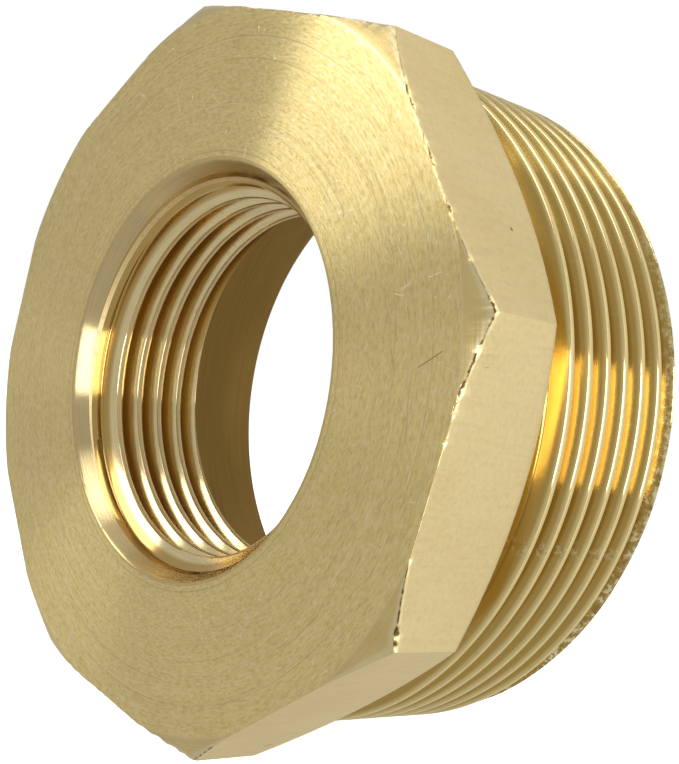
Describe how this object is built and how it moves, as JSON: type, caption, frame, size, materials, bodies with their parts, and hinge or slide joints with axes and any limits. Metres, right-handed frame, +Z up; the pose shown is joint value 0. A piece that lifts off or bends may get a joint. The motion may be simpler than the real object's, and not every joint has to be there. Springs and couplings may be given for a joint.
{
  "type": "reducing bush",
  "caption": "Brass pipe reducing bush with an octagonal head, a large external thread and a smaller internal thread through its centre.",
  "frame": {"origin": "centre of the octagonal front face, on the common axis of both threads", "axes": "+Y along the axis from the female mouth to the male end, so the female port opens towards -Y; +Z up, square to one wrench flat, so the bush lies on the opposite flat; +X square to another flat"},
  "size_m": [0.06, 0.0271, 0.06],
  "materials": {
    "brass": "machined brass: turned face and threads bright, wrench flats duller as sawn and milled"
  },
  "bodies": {
    "root": {"reducing_bush": "brass"}
  },
  "joints": []
}
